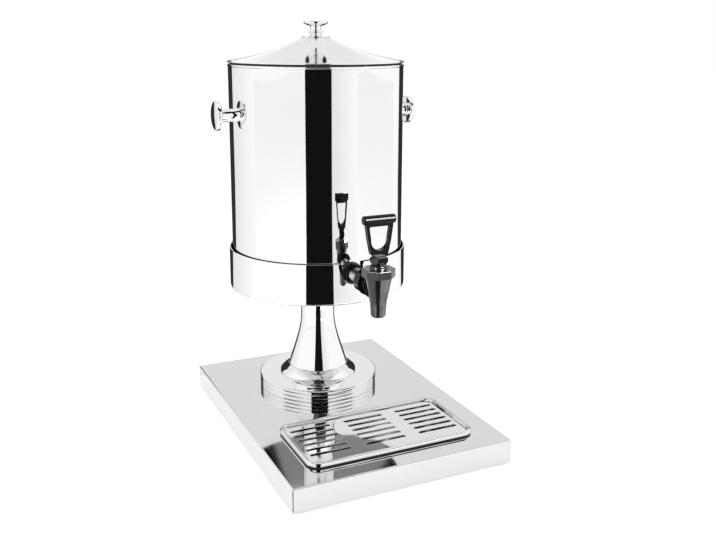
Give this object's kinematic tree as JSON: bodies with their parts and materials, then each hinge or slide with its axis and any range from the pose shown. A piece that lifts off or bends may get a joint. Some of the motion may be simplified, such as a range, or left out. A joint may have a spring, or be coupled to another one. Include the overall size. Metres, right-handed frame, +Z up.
{
  "type": "milk_dispenser",
  "caption": "Buffet milk dispenser: insulated steel tank with lid and side handles on a trumpet column, black lever tap over a lift-out drip tray",
  "frame": {"origin": "On the surface the four feet stand on, under the middle of the rectangular base plate", "axes": "+Z up. -Y is the front, with the tap over the drip tray; the tank and column stand on an upright axis at y = +70 mm. +X is to the right of someone who faces the tap. The handles lie along X."},
  "size_m": [0.26, 0.36, 0.4852],
  "materials": {
    "brushed_sheet": "satin",
    "satin_steel": "satin",
    "plain_steel": "semi_gloss",
    "mirror_steel": "polished",
    "black_gloss": "gloss",
    "black_rubber": "matte",
    "clear_silicone": "matte",
    "blue_plastic": "matte"
  },
  "bodies": {
    "stand": {"base_plate": "brushed_sheet", "base_stiffener": "plain_steel", "rubber_feet": "black_rubber", "plinth": "mirror_steel", "column_bead": "mirror_steel", "column": "mirror_steel", "tie_rod": "plain_steel", "tie_rod_washer": "plain_steel", "tie_rod_nut": "plain_steel", "holder": "mirror_steel", "holder_washer": "plain_steel", "dome_nut": "plain_steel", "cooling_pack": "blue_plastic"},
    "tray": {"drip_tray": "brushed_sheet", "tray_seal": "black_rubber"},
    "grille": {"drip_grille": "brushed_sheet"},
    "tank": {"tank_shell": "mirror_steel", "tank_liner": "satin_steel", "tank_bottom": "satin_steel", "tank_rim": "mirror_steel", "left_handle_stem": "mirror_steel", "left_handle_disc": "mirror_steel", "right_handle_stem": "mirror_steel", "right_handle_disc": "mirror_steel", "handle_studs": "plain_steel", "handle_nuts": "plain_steel", "inner_nut": "plain_steel", "inner_washer": "clear_silicone", "wall_sleeve": "plain_steel", "outer_washer": "black_rubber", "outer_nut": "black_gloss", "tap_shank": "plain_steel", "coupling_nut": "black_gloss", "tap_body": "black_gloss", "tap_bonnet": "black_gloss", "gland_ring": "black_rubber", "tap_spring": "plain_steel"},
    "lid": {"lid_shell": "mirror_steel", "lid_skirt": "satin_steel", "lid_seal": "black_rubber", "knob_washer": "mirror_steel", "lid_knob": "mirror_steel", "knob_screw": "plain_steel"},
    "lever": {"tap_lever": "black_gloss", "pivot_pin": "plain_steel"},
    "plunger": {"tap_plunger": "plain_steel", "cross_pin": "plain_steel", "tap_plug": "clear_silicone"}
  },
  "joints": [
    {"name": "tray_lift", "type": "slide", "parent": "stand", "child": "tray", "axis": [0, 0, 1], "range_m": [0, 0.035]},
    {"name": "grille_lift", "type": "slide", "parent": "tray", "child": "grille", "axis": [0, 0, 1], "range_m": [0, 0.02]},
    {"name": "tank_lift", "type": "slide", "parent": "stand", "child": "tank", "axis": [0, 0, 1], "range_m": [0, 0.06]},
    {"name": "lid_lift", "type": "slide", "parent": "tank", "child": "lid", "axis": [0, 0, 1], "range_m": [0, 0.04]},
    {"name": "lever_pull", "type": "hinge", "parent": "tank", "child": "lever", "pos_m": [0, -0.111, 0.2307], "axis": [1, 0, 0], "range_deg": [0, 35], "stiffness_Nm_per_rad": 0.12, "springref_deg": -17.19},
    {"name": "plunger_lift", "type": "slide", "parent": "tank", "child": "plunger", "axis": [0, 0, 1], "range_m": [0, 0.0045], "deforming": ["tap_spring"]}
  ],
  "couplings": [
    {"joint": "plunger_lift", "follows": "lever_pull", "m_per_rad": 0.006877}
  ]
}
